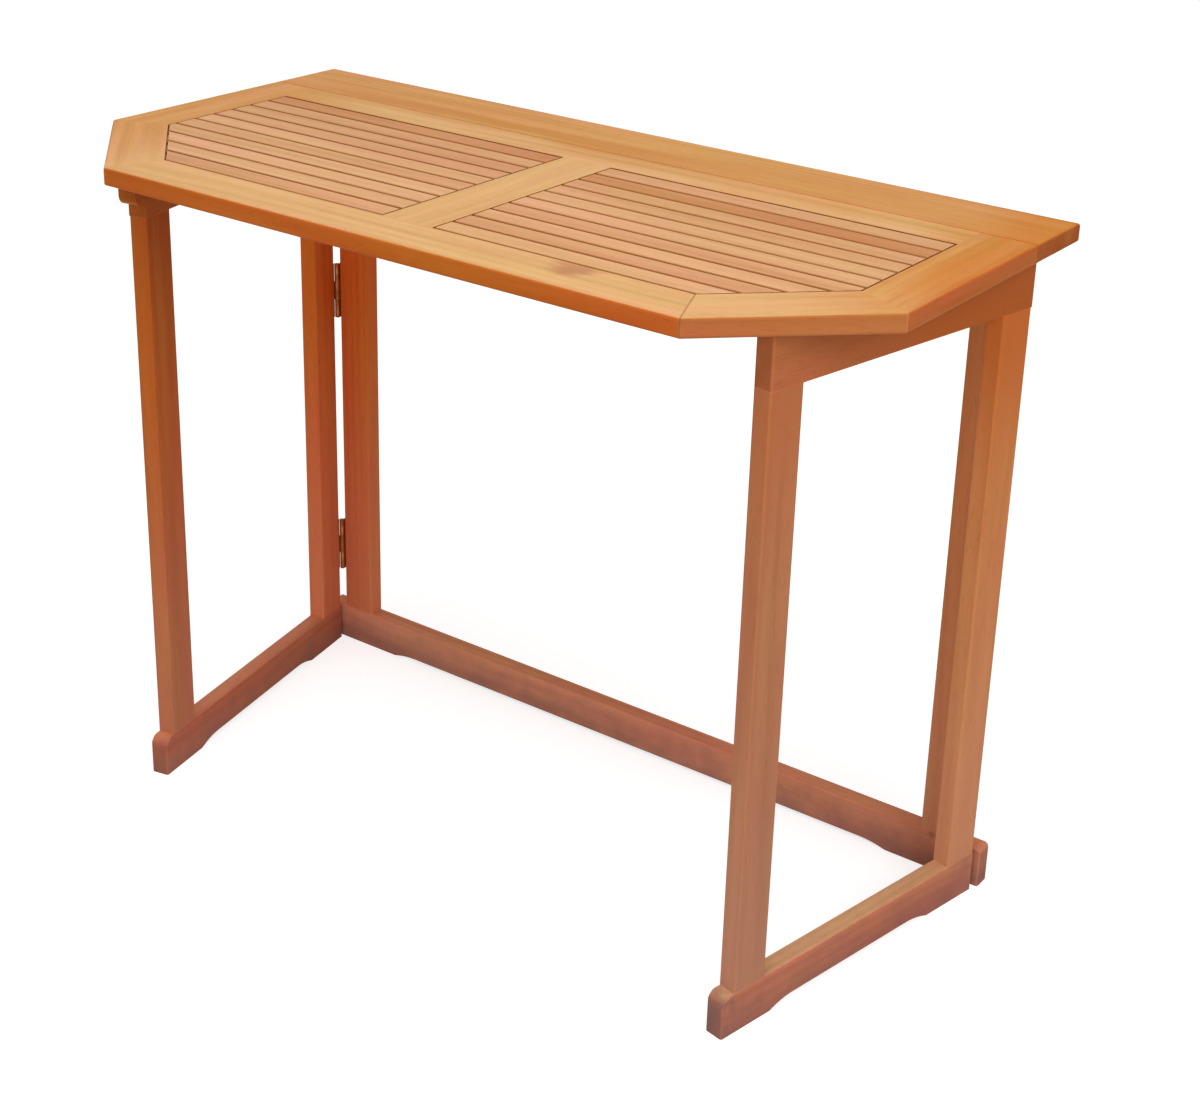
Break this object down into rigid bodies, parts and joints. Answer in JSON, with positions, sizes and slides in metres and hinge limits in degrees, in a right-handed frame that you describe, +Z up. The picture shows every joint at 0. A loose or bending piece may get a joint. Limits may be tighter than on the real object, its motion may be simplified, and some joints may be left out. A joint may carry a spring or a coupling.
{
  "type": "folding balcony table",
  "caption": "Half-octagon folding balcony table in oiled hardwood: a slatted drop leaf on a narrow rear frame, held up by two swinging leg gates.",
  "frame": {"origin": "on the floor, under the middle of the table top", "axes": "+X along the width of the top, +Y towards the back edge that faces the wall, +Z up"},
  "size_m": [0.986, 0.49, 0.75],
  "materials": {
    "top_wood": "oiled golden hardwood, satin",
    "slat_wood": "oiled pinkish hardwood, satin",
    "leg_wood": "oiled reddish hardwood, satin",
    "dowel_wood": "plain beech dowel",
    "hinge_metal": "aged brass",
    "screw_metal": "aged brass"
  },
  "bodies": {
    "frame": {"board_screws": "screw_metal", "frame_bottom_rail": "leg_wood", "frame_hinge_screws": "screw_metal", "frame_left_upright": "leg_wood", "frame_right_upright": "leg_wood", "frame_top_rail": "leg_wood", "left_hinge_frame_leaves": "hinge_metal", "left_hinge_pins": "hinge_metal", "rear_board": "top_wood", "right_hinge_frame_leaves": "hinge_metal", "right_hinge_pins": "hinge_metal", "seam_hinge_board_leaves": "hinge_metal", "seam_hinge_board_screws": "screw_metal", "seam_hinge_pins": "hinge_metal"},
    "left_gate": {"left_gate_bottom_rail": "leg_wood", "left_gate_front_upright": "leg_wood", "left_gate_hinge_leaves": "hinge_metal", "left_gate_hinge_screws": "screw_metal", "left_gate_rear_upright": "leg_wood", "left_gate_top_rail": "leg_wood"},
    "right_gate": {"right_gate_bottom_rail": "leg_wood", "right_gate_front_upright": "leg_wood", "right_gate_hinge_leaves": "hinge_metal", "right_gate_hinge_screws": "screw_metal", "right_gate_rear_upright": "leg_wood", "right_gate_top_rail": "leg_wood"},
    "leaf": {"leaf_back_rail": "top_wood", "leaf_front_rail": "top_wood", "leaf_left_corner_rail": "top_wood", "leaf_left_rail": "top_wood", "leaf_middle_rail": "top_wood", "leaf_mitre_dowels": "dowel_wood", "leaf_right_corner_rail": "top_wood", "leaf_right_rail": "top_wood", "left_slat_01": "slat_wood", "left_slat_02": "slat_wood", "left_slat_03": "slat_wood", "left_slat_04": "slat_wood", "left_slat_05": "slat_wood", "left_slat_06": "slat_wood", "left_slat_07": "slat_wood", "left_slat_08": "slat_wood", "left_slat_09": "slat_wood", "left_slat_10": "slat_wood", "right_slat_01": "slat_wood", "right_slat_02": "slat_wood", "right_slat_03": "slat_wood", "right_slat_04": "slat_wood", "right_slat_05": "slat_wood", "right_slat_06": "slat_wood", "right_slat_07": "slat_wood", "right_slat_08": "slat_wood", "right_slat_09": "slat_wood", "right_slat_10": "slat_wood", "seam_hinge_leaf_leaves": "hinge_metal", "seam_hinge_leaf_screws": "screw_metal"}
  },
  "joints": [
    {"name": "left_gate_swing", "type": "hinge", "parent": "frame", "child": "left_gate", "pos_m": [-0.4515, 0.199, 0], "axis": [0, 0, 1], "range_deg": [-20, 78.6]},
    {"name": "right_gate_swing", "type": "hinge", "parent": "frame", "child": "right_gate", "pos_m": [0.4515, 0.199, 0], "axis": [0, 0, -1], "range_deg": [-20, 78.6]},
    {"name": "leaf_lift", "type": "hinge", "parent": "frame", "child": "leaf", "pos_m": [0, 0.15, 0.7335], "axis": [-1, 0, 0], "range_deg": [0, 3]}
  ]
}
